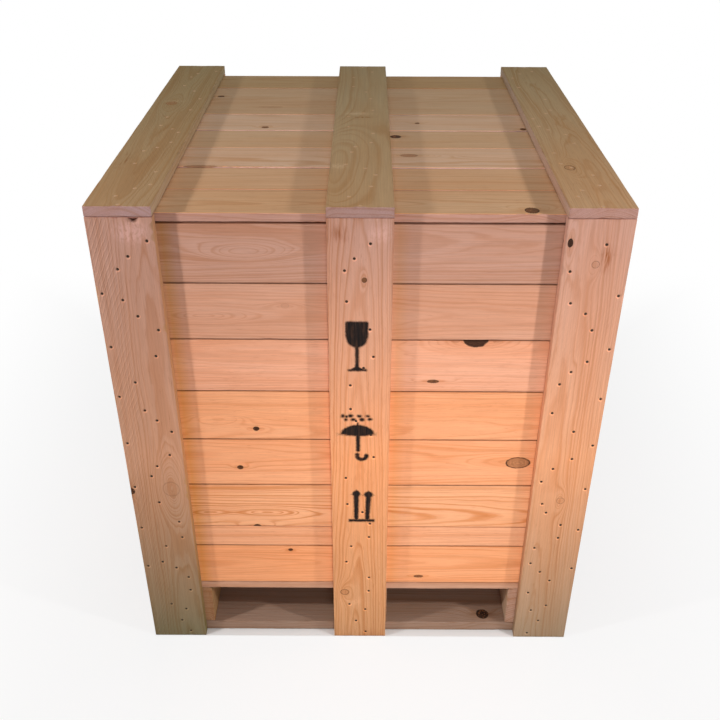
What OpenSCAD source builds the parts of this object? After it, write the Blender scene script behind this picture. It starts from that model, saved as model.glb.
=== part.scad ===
// Wooden shipping crate: boarded walls held by upright battens, a block base with
// fork openings on all four sides, and a battened lid that lifts straight off.
// Millimetres. The front faces -Y, the right side faces +X, and Z is up.
// The origin is the centre of the underside.

/* [Crate] */
// Width over the upright battens, left to right
crate_w = 762; // [700:2:900]
// Depth over the upright battens, front to back
crate_d = 762; // [700:2:900]
// Height of the boarded part of a wall
wall_h = 695.5; // [500:0.5:900]

/* [Boards] */
// Thickness of a wall board
wall_t = 15; // [13:0.5:20]
// Thickness of a lid board
lid_t = 14; // [12:0.5:20]
// Open joint between neighbouring boards
board_gap = 0.6; // [0.4:0.1:1.5]

/* [Battens] */
// Width of a batten
batten_w = 95; // [85:1:105]
// Thickness of a batten
batten_t = 16; // [14:0.5:20]

/* [Base] */
// Width of the base boards and of the blocks
base_w = 95; // [85:1:105]
// Thickness of a bottom board
bottom_t = 21; // [18:0.5:25]
// Height of a block, which is the height of the front fork openings
block_h = 87; // [80:1:100]
// Thickness of a stringer
stringer_t = 15.5; // [14:0.5:20]
// Thickness of a floor board
floor_t = 15; // [13:0.5:20]
// Number of floor boards
floor_n = 7; // [6:1:8]
// Open joint between the floor boards
floor_gap = 7; // [2:1:12]
// How far the middle row of blocks sits right of the centre
middle_block_shift = 2; // [0:0.5:4]

/* [Lid] */
// Height of the gap between the walls and the lid boards
lid_gap = 2; // [1:0.5:4]
// Play between the lid boards and the front and back battens
lid_play = 0.5; // [0.3:0.1:1.5]

/* [Nails] */
// Radius of a nail's shank
nail_r = 1.25; // [1:0.05:1.5]
// Radius of a nail's head
nail_head_r = 2.6; // [2:0.1:3]
// Thickness of a nail's head
nail_head_t = 1; // [0.6:0.1:1.2]
// Length of the nails that tie the corners
corner_nail_len = 38; // [30:1:38]
// Length of the nails that go into the base
base_nail_len = 45; // [38:1:45]
// Length of the nails that hold the lid down
fixing_nail_len = 40; // [34:1:42]
// Distance between the nails along a corner
corner_pitch = 90; // [80:1:100]

/* [Hidden] */
// Widths of the wall boards from the top down, before they are fitted to wall_h
wall_widths = [93, 94.5, 93.5, 94, 94.5, 92.5, 44.5, 89];
// Widths of the lid boards from the front to the back, before they are fitted
lid_widths = [90.5, 93.5, 94, 91, 93, 174, 93.5];

SIDES = ["front", "right", "back", "left"];
// Each side's list of boards starts at another board, so that the joints differ
side_start = [0, 5, 3, 2];
side_angle = [0, 90, 180, 270];
// Name of each upright batten's side and place, and which way it is from the middle
upright_places = [
    ["front", "left", -1], ["front", "middle", 0], ["front", "right", 1],
    ["right", "front", -1], ["right", "middle", 0], ["right", "back", 1],
    ["back", "right", -1], ["back", "middle", 0], ["back", "left", 1],
    ["left", "back", -1], ["left", "middle", 0], ["left", "front", 1],
];
lid_places = [["left", -1], ["middle", 0], ["right", 1]];

stringer_z = bottom_t + block_h;
wall_z = stringer_z + stringer_t;
wall_top = wall_z + wall_h;
lid_z = wall_top + lid_gap;
lid_batten_z = lid_z + lid_t;
half_w = crate_w / 2;
half_d = crate_d / 2;
// Half the base, out to the back faces of the battens
base_x = half_w - batten_t;
base_y = half_d - batten_t;
// Half the room inside the walls
inside_x = base_x - wall_t;
inside_y = base_y - wall_t;
// Nails through a batten and a board stop this far short of the inside
nail_stop = 1;
wall_nail_len = batten_t + wall_t - nail_stop;
lid_nail_len = batten_t + lid_t - nail_stop;
floor_nail_len = floor_t + stringer_t - nail_stop;
nail_tip = 3;
nail_point_r = 0.3;
nail_bore_r = nail_r + 0.4;
nail_bore_extra = 2;
$fn = 20;

board_colour = [0.83, 0.58, 0.36];
lid_colour = [0.72, 0.58, 0.42];
batten_colour = [0.76, 0.58, 0.40];
base_colour = [0.70, 0.52, 0.36];
nail_colour = [0.30, 0.28, 0.27];

function total(list, n) = n <= 0 ? 0 : list[n - 1] + total(list, n - 1);
function sum(list) = total(list, len(list));
function turned(list, start) = [for (i = [0 : len(list) - 1]) list[(i + start) % len(list)]];
function side_number(side) = search([side], SIDES)[0];
function is_end_wall(side) = side == "front" || side == "back";

// Boards of one side from the top down, fitted to the wall's height
function side_widths(side) =
    let (list = turned(wall_widths, side_start[side_number(side)]))
    [for (w = list) w * wall_h / sum(list)];
function board_bottom(side, i) = wall_top - total(side_widths(side), i);

// Front and back boards cover the ends of the side boards, and so do their battens
function board_half(side) = is_end_wall(side) ? base_x : inside_y;
function batten_edge(side) = is_end_wall(side) ? half_w : base_y;
function batten_top(side) = is_end_wall(side) ? lid_batten_z : lid_z;
function batten_x(side, sign) = sign * (batten_edge(side) - batten_w / 2);

// Lid boards from the front to the back, fitted between the front and back battens
lid_half_d = base_y - lid_play;
lid_fitted = [for (w = lid_widths) w * 2 * lid_half_d / sum(lid_widths)];
function lid_board_front(i) = -lid_half_d + total(lid_fitted, i - 1);

// Centres of the three rows of blocks and of the base boards
base_rows = [-base_y + base_w / 2, 0, base_y - base_w / 2];
block_columns = [-base_x + base_w / 2, middle_block_shift, base_x - base_w / 2];

floor_w = (2 * inside_x - (floor_n - 1) * floor_gap) / floor_n;
function floor_x(i) = -inside_x + i * (floor_w + floor_gap);

// Children are drawn as seen from outside: x to the right, y inwards from the battens' faces
module on_side(side) {
    angle = side_angle[side_number(side)];
    rotate([0, 0, angle])
        translate([0, is_end_wall(side) ? -half_d : -half_w, 0])
            children();
}

// A nail that points down, with the top of its head at the origin
module nail(length) {
    rotate_extrude()
        polygon([
            [0, 0],
            [nail_head_r, 0],
            [nail_head_r, -nail_head_t],
            [nail_r, -nail_head_t],
            [nail_r, nail_tip - length],
            [nail_point_r, -length],
            [0, -length],
        ]);
}

module wall_board(side, i) {
    w = side_widths(side)[i - 1];
    color(board_colour)
        on_side(side)
            translate([-board_half(side), batten_t, board_bottom(side, i)])
                cube([2 * board_half(side), wall_t, w - (i == 1 ? 0 : board_gap)]);
}

// The front and back battens have clearance bores for the nails that hold the lid down
module upright_batten(side, sign) {
    color(batten_colour)
        on_side(side)
            difference() {
                translate([batten_x(side, sign) - batten_w / 2, 0, 0])
                    cube([batten_w, batten_t, batten_top(side)]);
                if (is_end_wall(side))
                    translate([batten_x(side, sign), batten_t / 2, fixing_bore_bottom()])
                        cylinder(r = nail_bore_r, h = batten_top(side));
            }
}

function fixing_bore_bottom() = lid_batten_z + batten_t - fixing_nail_len - nail_bore_extra;

module bottom_boards() {
    color(base_colour)
        for (y = base_rows)
            translate([-base_x, y - base_w / 2, 0])
                cube([2 * base_x, base_w, bottom_t]);
}

module base_blocks() {
    color(base_colour)
        for (x = block_columns, y = base_rows)
            translate([x - base_w / 2, y - base_w / 2, bottom_t])
                cube([base_w, base_w, block_h]);
}

module base_stringers() {
    color(base_colour)
        for (y = base_rows)
            translate([-base_x, y - base_w / 2, stringer_z])
                cube([2 * base_x, base_w, stringer_t]);
}

module floor_boards() {
    color(board_colour)
        for (i = [0 : floor_n - 1])
            translate([floor_x(i), -inside_y, wall_z])
                cube([floor_w, 2 * inside_y, floor_t]);
}

module lid_board(i) {
    color(lid_colour)
        translate([-half_w, lid_board_front(i), lid_z])
            cube([crate_w, lid_fitted[i - 1] - (i == len(lid_widths) ? 0 : board_gap), lid_t]);
}

module lid_batten(sign) {
    color(batten_colour)
        translate([batten_x("front", sign) - batten_w / 2, -half_d, lid_batten_z])
            cube([batten_w, crate_d, batten_t]);
}

// Nail places across a batten, as shares of its width from the middle
zigzag = 0.20;
scatter_across = 0.055;
scatter_along = 5;
inward_shift = 0.12;
board_share = 0.24;
extra_share = 0.04;
narrow_board = 60;

// Three or two nails hold each board to each batten, in a loose zigzag.
// A corner batten's inner nails sit towards the middle of the crate.
function board_nails(centre, sign, low, w, seed) =
    let (
        r = rands(-1, 1, 6, seed),
        turn = seed % 2 == 0 ? 1 : -1,
        middle = centre - sign * inward_shift * batten_w,
        across = scatter_across * batten_w,
        scatter = w < narrow_board ? scatter_along / 2 : scatter_along
    )
    concat(
        [
            [
                middle - turn * zigzag * batten_w + across * r[0],
                low + w * (0.5 + board_share) + scatter * r[1],
            ],
            [
                middle + turn * zigzag * batten_w + across * r[2],
                low + w * (0.5 - board_share) + scatter * r[3],
            ],
        ],
        w > narrow_board && seed % 3 != 0
            ? [[middle + across * 2 * r[4], low + w * (0.5 + extra_share) + scatter * r[5]]]
            : []
    );

module wall_nails(side) {
    widths = side_widths(side);
    for (sign = [-1 : 1], i = [1 : len(widths)]) {
        seed = side_number(side) * 100 + (sign + 1) * 10 + i;
        spots = board_nails(batten_x(side, sign), sign, board_bottom(side, i), widths[i - 1], seed);
        for (spot = spots)
            translate([spot[0], 0, spot[1]])
                rotate([90, 0, 0])
                    nail(wall_nail_len);
    }
}

// Nails near the corner's edge: from the front and back into the side battens' edges,
// and half a pitch lower from the sides into the ends of the front and back boards
module corner_nails(side) {
    from_edge = (is_end_wall(side) ? batten_t : wall_t) / 2;
    length = is_end_wall(side) ? corner_nail_len : wall_nail_len;
    rise = is_end_wall(side) ? corner_pitch / 2 : 0;
    for (sign = [-1, 1], z = [wall_z + corner_pitch / 3 : corner_pitch : wall_top - corner_pitch / 2])
        translate([sign * (batten_edge(side) - from_edge), 0, z + rise / 2])
            rotate([90, 0, 0])
                nail(length);
}

// Places of the nails from a batten into a block, a bottom board and a stringer:
// share of the batten's width from its middle, and height
base_spots = [
    [-0.22, bottom_t + block_h * 0.70], [0.12, bottom_t + block_h * 0.55],
    [-0.08, bottom_t + block_h * 0.24], [0.14, bottom_t * 0.5],
    [0.24, stringer_z + stringer_t * 0.5],
];

module base_nails(side) {
    for (sign = [-1 : 1], k = [0 : len(base_spots) - 1]) {
        seed = 500 + side_number(side) * 100 + (sign + 1) * 10 + k;
        r = rands(-1, 1, 2, seed);
        turn = sign == 0 ? 1 : -sign;
        middle = batten_x(side, sign) - sign * inward_shift * batten_w;
        x = middle + turn * (base_spots[k][0] + scatter_across * r[0]) * batten_w * 0.8;
        translate([x, 0, base_spots[k][1] + 2 * r[1]])
            rotate([90, 0, 0])
                nail(base_nail_len);
    }
}

// Two nails down through a stringer and two up through a bottom board hold each block
module block_nails() {
    step = 15;
    for (x = block_columns, y = base_rows, turn = [-1, 1]) {
        translate([x + turn * step, y + turn * step, wall_z])
            nail(base_nail_len);
        translate([x + turn * step, y - turn * step, 0])
            rotate([180, 0, 0])
                nail(base_nail_len);
    }
}

module floor_nails() {
    side_step = floor_w * 0.27;
    for (i = [0 : floor_n - 1], y = base_rows, turn = [-1, 1])
        translate([floor_x(i) + floor_w / 2 + turn * side_step, floor_nail_y(y, turn), wall_z + floor_t])
            nail(floor_nail_len);
}

// The outer stringers lie partly under the walls, so their nails sit further in
function floor_nail_y(y, turn) =
    y == 0 ? turn * base_w * 0.28
    : sign(y) * (inside_y - base_w * (turn > 0 ? 0.22 : 0.62));

module crate_nails() {
    color(nail_colour) {
        for (side = SIDES)
            on_side(side) {
                wall_nails(side);
                corner_nails(side);
                base_nails(side);
            }
        block_nails();
        floor_nails();
    }
}

module lid_nails() {
    color(nail_colour)
        translate([0, 0, lid_batten_z + batten_t]) {
            for (sign = [-1 : 1], i = [1 : len(lid_fitted)]) {
                seed = 1000 + (sign + 1) * 10 + i;
                spots = board_nails(batten_x("front", sign), sign, lid_board_front(i), lid_fitted[i - 1], seed);
                for (spot = spots)
                    translate([spot[0], spot[1], 0])
                        nail(lid_nail_len);
            }
            for (sign = [-1 : 1], end = [-1, 1])
                translate([batten_x("front", sign), end * (half_d - batten_t / 2), 0])
                    nail(fixing_nail_len);
        }
}

for (side = SIDES, i = [1 : len(wall_widths)])
    wall_board(side, i);
for (place = upright_places)
    upright_batten(place[0], place[2]);
bottom_boards();
base_blocks();
base_stringers();
floor_boards();
crate_nails();
for (i = [1 : len(lid_widths)])
    lid_board(i);
for (place = lid_places)
    lid_batten(place[1]);
lid_nails();
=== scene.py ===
"""The looks of a nailed pine crate: every board, block and nail, with its finish, light and camera."""

import math
from itertools import product
from zlib import crc32

import bpy
import numpy as np
from mathutils import Matrix, Vector
from mathutils.geometry import delaunay_2d_cdt


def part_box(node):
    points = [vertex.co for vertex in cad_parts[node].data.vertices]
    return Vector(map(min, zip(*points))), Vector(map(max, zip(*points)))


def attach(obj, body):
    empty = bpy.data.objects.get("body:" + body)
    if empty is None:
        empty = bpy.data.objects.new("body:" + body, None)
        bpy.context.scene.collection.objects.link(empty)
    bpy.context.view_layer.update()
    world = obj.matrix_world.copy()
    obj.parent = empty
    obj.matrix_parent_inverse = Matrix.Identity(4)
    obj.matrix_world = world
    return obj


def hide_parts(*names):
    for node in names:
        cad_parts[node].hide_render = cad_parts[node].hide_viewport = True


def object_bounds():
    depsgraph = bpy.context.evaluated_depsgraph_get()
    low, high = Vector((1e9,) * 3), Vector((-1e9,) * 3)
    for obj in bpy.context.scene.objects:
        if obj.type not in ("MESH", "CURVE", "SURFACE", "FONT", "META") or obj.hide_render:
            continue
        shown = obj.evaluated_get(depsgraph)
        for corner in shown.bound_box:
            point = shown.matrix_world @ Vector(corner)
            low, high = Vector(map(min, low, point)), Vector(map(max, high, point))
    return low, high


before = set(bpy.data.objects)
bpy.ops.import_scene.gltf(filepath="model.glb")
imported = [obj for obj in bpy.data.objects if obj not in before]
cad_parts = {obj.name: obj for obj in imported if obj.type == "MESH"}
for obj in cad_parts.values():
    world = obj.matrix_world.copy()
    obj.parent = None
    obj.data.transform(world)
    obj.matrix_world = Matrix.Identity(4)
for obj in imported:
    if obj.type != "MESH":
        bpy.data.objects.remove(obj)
cad_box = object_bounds()

MM = 0.001
X, Y, Z = 0, 1, 2
SAME_PLACE = 0.001 * MM

# Camera, as measured on the crate's corners: place in metres, angles in degrees
CAMERA_PLACE = (0.0078, -1.5451, 1.3263)
CAMERA_PITCH, CAMERA_YAW, CAMERA_ROLL = 32.4, -0.175, 0.171
CAMERA_LENS, CAMERA_SENSOR = 45.367, 36.0
CAMERA_SHIFT = (-0.00387, 0.01434)

# How each group of wood lies: the axis of its grain, the axis it faces and which way
LAYS = {
    "lid_board": (X, Z, 1),
    "lid_batten": (Y, Z, 1),
    "bottom_boards": (X, Z, 1),
    "base_blocks": (Y, Z, 1),
    "base_stringers": (X, Z, 1),
    "floor_boards": (Y, Z, 1),
}
WALLS = {"front": (Y, -1), "back": (Y, 1), "left": (X, -1), "right": (X, 1)}
for wall, (out, sign) in WALLS.items():
    LAYS[wall + "_board"] = (X + Y - out, out, sign)
    LAYS[wall + "_batten"] = (Z, out, sign)

# What each group of wood is like: slot, colour, edge radius and gaps between growth rings in
# millimetres, the rings' contrast, the depth of saw marks, and how dark the painted shade in the
# low and high seams is. Every wall is like the front.
GROUPS = {
    "front_board": ("wall_pine", (228, 160, 118), 1.1, (3.0, 6.5), (0.4, 0.65), 0.05, (0.8, 0.4)),
    "lid_board": ("lid_pine", (217, 172, 134), 1.4, (2.4, 5.0), (0.35, 0.6), 0.05, (0, 0)),
    "front_batten": ("batten_pine", (212, 157, 124), 1.1, (2.4, 4.5), (0.45, 0.7), 0.2, (0, 0)),
    "lid_batten": ("batten_pine", (192, 155, 114), 1.2, (2.2, 4.0), (0.35, 0.6), 0.2, (0, 0)),
    # The base groups' colour, kept by the inner base pieces, is darkened as painted shade for the space under
    # the crate
    "bottom_boards": ("base_pine", (112, 96, 84), 1.4, (2.5, 4.5), (0.4, 0.6), 0.5, (0, 0)),
    "base_blocks": ("base_pine", (112, 96, 84), 1.5, (3.0, 5.0), (0.5, 0.8), 0.5, (0, 0)),
    "base_stringers": ("base_pine", (112, 96, 84), 1.2, (2.5, 4.5), (0.4, 0.6), 0.5, (0, 0)),
    "floor_boards": ("wall_pine", (214, 160, 120), 1.0, (2.2, 4.5), (0.35, 0.6), 0.1, (0.4, 0.4)),
}

# The colour of a group's sides and ends against its faces', and of all others'. The lid groups'
# side and end tints are painted light and shade: they copy how those faces are lit.
GROUP_SIDES = {"lid_board": (0.57, 0.64, 1.05), "lid_batten": (0.85, 0.88, 0.95)}
GROUP_ENDS = {"lid_batten": (0.90, 0.87, 1.5)}
USUAL_SIDE = (1.0, 1.0, 1.0)
USUAL_END = (0.85, 0.75, 0.8)

# Painted highlight on the lid boards' front edges, where the light catches them, against their sides: paler
# and more orange
LIT_EDGE = (1.5, 1.2, 1.0)

# Strips beside the battens where a front board has painted shade, warmed as by light thrown back
# from the batten: start and width in millimetres, and their colour against the board's
BATTEN_SHADE_STRIPS = ((-286, 11), (47, 9))
BATTEN_SHADE_COLOUR = (0.92, 0.88, 0.58)

# What the photograph shows of single pieces. Other marks of them come from their group or from
# chance, apart from knots, of which they have only those given.
# Places and sizes are in millimetres, in the two axes that the face shows, lower axis first.
#   tones   one colour, or several spread evenly from the low end to the high end
#   knots   place, half sizes, how dark from 0, where only the grain bends, to 1, and how dark
#           the bark round it is, where that doesn't follow
#   stains  place, half sizes and strength: brown above 0, rubbed pale below 0
#   pith    its place across and behind the face, and the drift of both along one metre
#   inset   how far the face lies behind the solid's
#   rings, seams, sides and ends   what the piece has instead of its group's
#   saw     angle to the grain in degrees, pitch, depth, and the share of the width, from the
#           low side, that the marks cover
#   notch   broken out of the top: its middle, half width and depth
PIECES = {
    "front_board_1": dict(
        tones=[(196, 151, 132)], pith=(20, 62, 8, 14), knots=[((-165, 776), (14, 9), 0)],
    ),
    "front_board_2": dict(
        tones=[(208, 156, 131)], pith=(-6, 34, -10, 22),
        knots=[((-233, 672), (15, 7), 0), ((-111, 689), (6, 4), 0.12)],
    ),
    "front_board_3": dict(
        tones=[(226, 165, 135)], pith=(30, 60, 10, -20),
        knots=[((175, 633), (18.5, 13), 1.0), ((113, 557), (9, 3), 0.7)],
    ),
    "front_board_4": dict(
        tones=[(230, 162, 120)], pith=(-30, 50, 20, 30),
        knots=[((-167, 465), (5, 4), 0.95), ((-225, 486), (12, 9), 0)],
    ),
    "front_board_5": dict(
        tones=[(230, 162, 120)], pith=(12, 40, -10, 26),
        knots=[((260, 398), (19.5, 11), 0.42, 1.0), ((-198, 386), (5, 4), 0.85)],
    ),
    "front_board_6": dict(
        tones=[(228, 166, 125)], pith=(-20, 45, 15, 30), rings=(4.2, 0.95), seams=(0.25, 0.4),
        knots=[((-177, 254), (8, 7), 1.0), ((-155, 289), (14, 6), 0), ((-257, 289), (9, 5), 0)],
    ),
    "front_board_7": dict(tones=[(226, 163, 125)], seams=(0.8, 0.1)),
    "front_board_8": dict(
        tones=[(230, 160, 115)], pith=(5, 28, 10, 24),
        knots=[((-122, 202), (4, 3), 0.8), ((105, 139), (8, 3), 0.6)],
    ),
    "front_batten_left": dict(
        # Painted shade: the low tone is darker and duller towards the ground, where less light falls.
        tones=[(121, 112, 85), (197, 149, 121), (187, 144, 128)], pith=(30, 70, 6, 10),
        # The side tint is painted light: it copies how this side is lit.
        sides=(1.0, 1.0, 0.75), saw=(-66, 6.0, 1.3, 0.4), notch=((-313, 835), 7.5, 8),
        knots=[((-379, 347), (5, 6), 0.8), ((-313, 352), (14, 15), 0.05, 0.2)],
        stains=[((-319, 813), (26, 20), -1.5)],
    ),
    "front_batten_middle": dict(
        tones=[(195, 149, 109), (227, 158, 113), (194, 150, 134)], pith=(-4, 36, 8, 26),
        knots=[((6, 740), (3.7, 4), 0.62), ((-27, 115), (7.5, 6.5), 0.2, 0.9)],
        stains=[
            ((-27, 811), (15, 14), 0.9), ((27, 812), (20, 16), -0.7),
            ((-12, 92), (24, 12), -0.6), ((0, 4), (48, 18), 0.6),
        ],
    ),
    "front_batten_right": dict(
        # Painted shade: the low tone is darker and duller towards the ground, where less light falls.
        tones=[(155, 134, 110), (219, 158, 119), (200, 154, 137)], pith=(-25, 60, -8, 12),
        knots=[
            ((293.5, 799), (3.8, 6.5), 1.0), ((333, 766), (5.5, 5.5), 0.12, 0.55),
            ((335, 331), (6.5, 6.5), 0.1, 0.5),
        ],
        stains=[((347, 777), (6.5, 22), 1.5)],
    ),
    "lid_board_1": dict(
        tones=[(207, 167, 130)], pith=(-8, 30, 10, 24), inset=0.6,
        knots=[((241, -349), (10, 10), 0.68)], stains=[((-290, -300), (24, 8), 0.6)],
    ),
    "lid_board_2": dict(tones=[(208, 167, 130)], inset=0.8),
    "lid_board_3": dict(
        tones=[(214, 179, 150)], inset=0.25,
        knots=[((-251, -177), (26, 5), 0.35, 0.3), ((77, -123), (14, 7), 0.35, 0.3)],
    ),
    "lid_board_4": dict(tones=[(203, 168, 133)], inset=0.7, knots=[((58, -26), (9, 8), 0.8)]),
    "lid_board_5": dict(
        tones=[(211, 179, 151)], inset=0.45,
        knots=[((-169, 22), (6, 5), 0.6), ((98, 48), (4, 4), 0.6), ((281, 16), (5, 6), 0.7)],
    ),
    "lid_board_6": dict(
        tones=[(194, 163, 130)], pith=(20, 60, 10, 20), inset=0.3,
        knots=[((-272, 213), (6, 5), 0.8), ((-172, 143), (26, 5), 0.22, 0.0)],
    ),
    "lid_board_7": dict(tones=[(178, 149, 110)], inset=0.2),
    "lid_batten_left": dict(
        # The side and end tints are painted light: they copy how these faces are lit.
        tones=[(174, 142, 106), (154, 134, 96)], sides=(1.1, 1.22, 1.5), ends=(1.05, 1.03, 1.85),
        knots=[((-347, 110), (11, 11), 0.28, 0.1)],
        stains=[((-345, 122), (20, 9), -1.0), ((-362, -200), (3, 45), 0.9)],
    ),
    "lid_batten_middle": dict(
        tones=[(182, 150, 113), (161, 143, 109)], pith=(40, 90, 0, 6), rings=(7.0, 0.5),
        knots=[((-46, -150), (34, 36), 0), ((-50, -310), (28, 30), 0)],
        stains=[((-9, 49), (26, 8), -1.5), ((-2, 28), (24, 3), 1.2), ((-35, -219), (14, 12), -1.2)],
    ),
    "lid_batten_right": dict(
        # The side and end tints are painted light: they copy how these faces are lit.
        tones=[(190, 153, 116), (162, 142, 106)], sides=(1.05, 1.12, 1.6), ends=(0.9, 0.84, 1.3),
        knots=[((316, -221), (8, 10), 0.2, 0.8)],
    ),
    "bottom_boards_1": dict(tones=[(150, 124, 108)], knots=[((231, -344), (11, 11), 0.85)]),
    "base_stringers_1": dict(tones=[(195, 152, 128)]),
    "base_blocks_1": dict(tones=[(175, 141, 103)]),
    "base_blocks_2": dict(tones=[(180, 148, 115)]),
    "base_blocks_3": dict(tones=[(193, 165, 141)]),
}


def srgb(*steps):
    """A colour of 0 to 255 steps as linear numbers."""
    shares = np.array(steps) / 255
    return np.where(shares <= 0.04045, shares / 12.92, ((shares + 0.055) / 1.055) ** 2.4)


def seeded(name):
    """A random generator of the piece's own, the same on every run."""
    return np.random.default_rng(crc32(name.encode()))


NOISE_CELLS = 4096
NOISE_STEPS = (73, 1579, 283)


def value_noise(points, seed):
    """Smooth noise from 0 to 1 at each point, between seeded values on a whole-number grid."""
    table = np.random.default_rng(seed).random(NOISE_CELLS)
    cell = np.floor(points).astype(int)
    part = points - cell
    part = part * part * (3 - 2 * part)
    total = np.zeros(len(points))
    for corner in product((0, 1), repeat=3):
        index = (cell + corner) @ NOISE_STEPS % NOISE_CELLS
        total += np.prod(np.where(corner, part, 1 - part), axis=1) * table[index]
    return total


def noise_scale(along, across):
    """What turns metres along and across the grain into cells of so many millimetres."""
    return np.array([1 / (along * MM), 1 / (across * MM), 1 / (across * MM)])


class Plank:
    """One solid piece of wood: its box, and its own axes along the grain, across it and outward."""

    def __init__(self, name, node, low, high):
        self.name, self.node = name, node
        self.group = node if node in LAYS else node.rsplit("_", 1)[0]
        self.body = "lid" if node.startswith("lid") else "crate"
        self.facts = PIECES.get(name, {})
        self.random = seeded(name)
        along, out, sign = LAYS[self.group]
        self.low, self.high = np.array(low), np.array(high)
        self.axes = [along, X + Y + Z - along - out, out]
        self.signs = np.array([1.0, 1.0, float(sign)])
        self.centre = ((self.low + self.high) / 2)[self.axes]
        self.half = ((self.high - self.low) / 2)[self.axes]
        turned = np.zeros((3, 3))
        turned[self.axes, range(3)] = self.signs
        self.mirrored = np.linalg.det(turned) < 0
        self.dents, self.stains, self.windows = [], [], []
        self.cuts = [[], [], []]

    def to_world(self, points):
        """Points in the plank's own axes, in the crate's."""
        world = np.empty_like(points)
        world[:, self.axes] = points * self.signs + self.centre
        return world

    def to_own(self, point):
        """A point of the crate, in the plank's own axes."""
        return (np.array(point)[self.axes] - self.centre) * self.signs


def loose_solids(node):
    """The corner points of each separate solid in a node."""
    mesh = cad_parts[node].data
    points = np.empty(len(mesh.vertices) * 3)
    mesh.vertices.foreach_get("co", points)
    cells = np.round(points.reshape(-1, 3) / SAME_PLACE).astype(np.int64)
    places, same = np.unique(cells, axis=0, return_inverse=True)
    edges = np.empty(len(mesh.edges) * 2, int)
    mesh.edges.foreach_get("vertices", edges)
    ends = same.ravel()[edges].reshape(-1, 2)
    label = np.arange(len(places))
    while True:
        new = label.copy()
        np.minimum.at(new, ends, label[ends].min(axis=1, keepdims=True))
        new = new[new]
        if (new == label).all():
            break
        label = new
    order = np.argsort(label, kind="stable")
    cuts = np.flatnonzero(np.diff(label[order])) + 1
    return np.split((places * SAME_PLACE)[order], cuts)


def make_planks():
    """Every piece of wood in the frame, one for each separate solid."""
    planks = []
    for node in sorted(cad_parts):
        if node.endswith("nails"):
            continue
        if node not in LAYS:
            planks.append(Plank(node, node, *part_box(node)))
            continue
        boxes = [(points.min(axis=0), points.max(axis=0)) for points in loose_solids(node)]
        boxes.sort(key=lambda box: (round(box[0][Y], 4), round(box[0][X], 4)))
        planks += [Plank(f"{node}_{number}", node, *box) for number, box in enumerate(boxes, 1)]
    return planks


# How deep the nail heads sit below the wood's face, on each body, and how much of a nail's end
# is looked at to tell its head from its point
NAIL_SINK = {"crate": (0.6 * MM, 1.4 * MM), "lid": (0.3 * MM, 0.8 * MM)}
NAIL_END = 0.5 * MM


class Nail:
    """One nail: the middle of its head's face, the way it points, its length, and how deep it sits."""

    def __init__(self, points, body):
        low, high = points.min(axis=0), points.max(axis=0)
        self.axis = int(np.argmax(high - low))
        middle = (low + high) / 2
        reach = np.linalg.norm((points - middle)[:, face_axes(self.axis)], axis=1)
        near_high = points[:, self.axis] > high[self.axis] - NAIL_END
        near_low = points[:, self.axis] < low[self.axis] + NAIL_END
        self.sign = 1.0 if reach[near_high].max() > reach[near_low].max() else -1.0
        self.head = middle.copy()
        self.head[self.axis] = high[self.axis] if self.sign > 0 else low[self.axis]
        self.length = high[self.axis] - low[self.axis]
        self.body = body
        place = "_".join(str(int(round(value / MM * 10))) for value in self.head)
        self.random = seeded("nail" + place)
        self.sink = self.random.uniform(*NAIL_SINK[body])


def face_axes(axis):
    """The two axes of a face, in the order that makes the face look outward."""
    return [(axis + 1) % 3, (axis + 2) % 3]


class Dent:
    """A round change of depth on one face of a plank, with grime and painted shade, and pale torn wood with a
    painted highlight towards one side.
    """

    def __init__(self, face, middle, radii, depths, grimes=None, corners=12, stretch=(1.0, 1.0), torn=None):
        self.face, self.middle, self.stretch = face, np.array(middle), np.array(stretch)
        self.radii, self.depths = np.concatenate([[0], radii]), np.array(depths)
        self.grimes = np.zeros(len(depths)) if grimes is None else np.array(grimes)
        self.reach, self.torn = radii[-1], torn
        points = [self.middle[None]]
        for number, radius in enumerate(radii):
            angles = 2 * math.pi * (np.arange(corners) + 0.5 * (number % 2)) / corners
            ring = np.stack([np.cos(angles), np.sin(angles)], axis=1) * self.stretch
            points.append(self.middle + radius * ring)
        self.points = np.concatenate(points)

    def distance(self, places):
        return np.linalg.norm((places - self.middle) / self.stretch, axis=1)

    def read(self, places, heights):
        return np.interp(self.distance(places), self.radii, heights, right=0.0)

    def grime(self, places):
        marks = self.read(places, self.grimes)
        if self.torn is not None:
            away = (places - self.middle) / np.maximum(self.distance(places), 1e-9)[:, None]
            marks = np.where(marks < 0, marks * np.clip(0.3 + away @ self.torn, 0, 1), marks)
        return marks


# The pit over a nail's head: the radii of its rings of points, its slope as shares of the
# head's depth, and on each body how dark the wood is, or below 0 how pale: torn wood with a
# painted highlight where the light catches the pit's wall, most of all towards the crate's
# middle, its front and the ground
PIT_RADII = np.array([1.2, 1.7, 1.9, 2.6, 3.8, 4.7]) * MM
PIT_SLOPE = (0.75, 0.3, 0.05, 0.0)
PIT_DARK = {
    "crate": (1.0, 1.0, 1.0, 0.4, -1.0, -1.0, 0.0),
    "lid": (0.0, 0.0, 0.0, -1.0, -1.0, -0.7, 0.0),
}
PIT_FLOOR = 1.2 * MM
HIGHLIGHT_WAY = (-0.6, -0.8, -0.8)
NEAR_FACE = 0.2 * MM


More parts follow.
